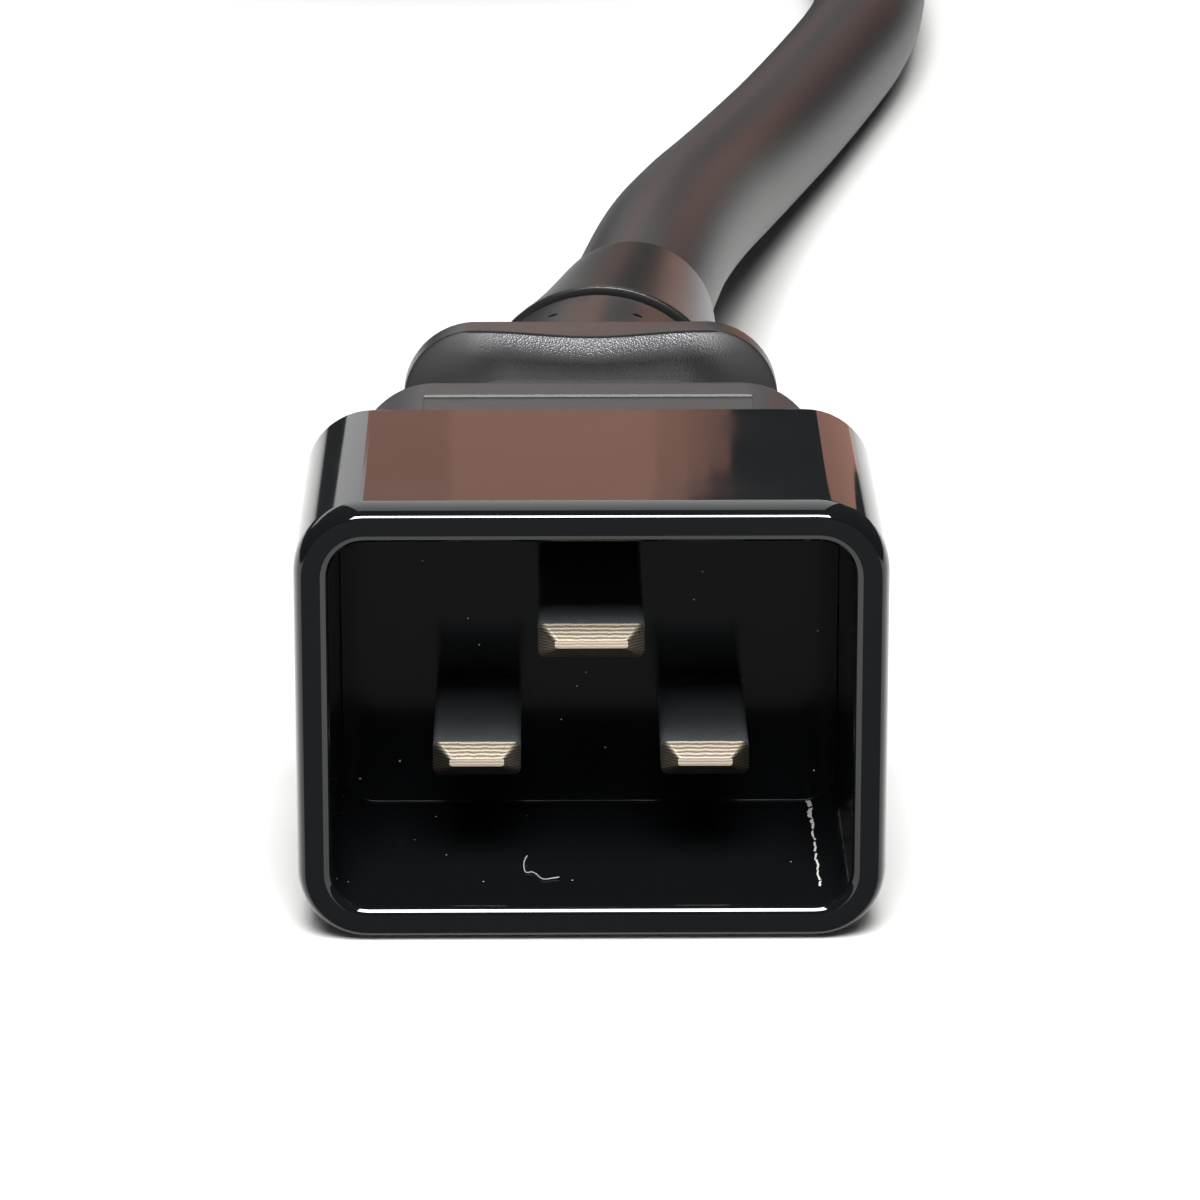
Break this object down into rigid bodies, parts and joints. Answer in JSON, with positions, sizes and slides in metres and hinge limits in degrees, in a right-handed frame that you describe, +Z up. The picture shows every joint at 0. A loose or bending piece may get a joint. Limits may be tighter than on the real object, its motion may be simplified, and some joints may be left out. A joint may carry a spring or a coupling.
{
  "type": "power extension cord",
  "caption": "Black heavy duty power extension cord with a shrouded flat-pin plug, moulded grips with bend reliefs, a round cord tied in a hank and a matching slotted connector.",
  "frame": {"origin": "under the middle of the plug, on the surface that the underside of its shroud rests on", "axes": "+Z up towards the earth pin's side of the plug, +Y from the plug's pins back along its cord, +X to the right seen from the pins"},
  "size_m": [0.1037, 0.466, 0.0474],
  "materials": {
    "shroud_plastic": "glossy moulded, lightly scuffed inside",
    "grip_pvc": "satin, fine moulded grain",
    "inner_mould_pe": "satin",
    "pin_nickel": "nickel plate with drawn and sheared tip faces",
    "contact_brass": "bright stamped sheet",
    "strand_copper": "bright stranded copper",
    "core_green": "satin",
    "core_black": "satin",
    "core_white": "satin",
    "cord_jacket": "satin extruded",
    "tie_fabric": "woven hook and loop strap"
  },
  "bodies": {
    "root": {"plug_shroud": "shroud_plastic", "plug_grip": "grip_pvc", "plug_inner_mould": "inner_mould_pe", "plug_earth_pin": "pin_nickel", "plug_line_pin": "pin_nickel", "plug_neutral_pin": "pin_nickel", "connector_nose": "shroud_plastic", "connector_grip": "grip_pvc", "connector_inner_mould": "inner_mould_pe", "connector_earth_contact": "contact_brass", "connector_line_contact": "contact_brass", "connector_neutral_contact": "contact_brass", "plug_earth_core": "core_green", "plug_line_core": "core_black", "plug_neutral_core": "core_white", "plug_earth_strands": "strand_copper", "plug_line_strands": "strand_copper", "plug_neutral_strands": "strand_copper", "connector_earth_core": "core_green", "connector_line_core": "core_black", "connector_neutral_core": "core_white", "connector_earth_strands": "strand_copper", "connector_line_strands": "strand_copper", "connector_neutral_strands": "strand_copper", "cord_lead": "cord_jacket", "cord_hank": "cord_jacket", "cord_tail": "cord_jacket", "cord_tie": "tie_fabric"}
  },
  "joints": []
}
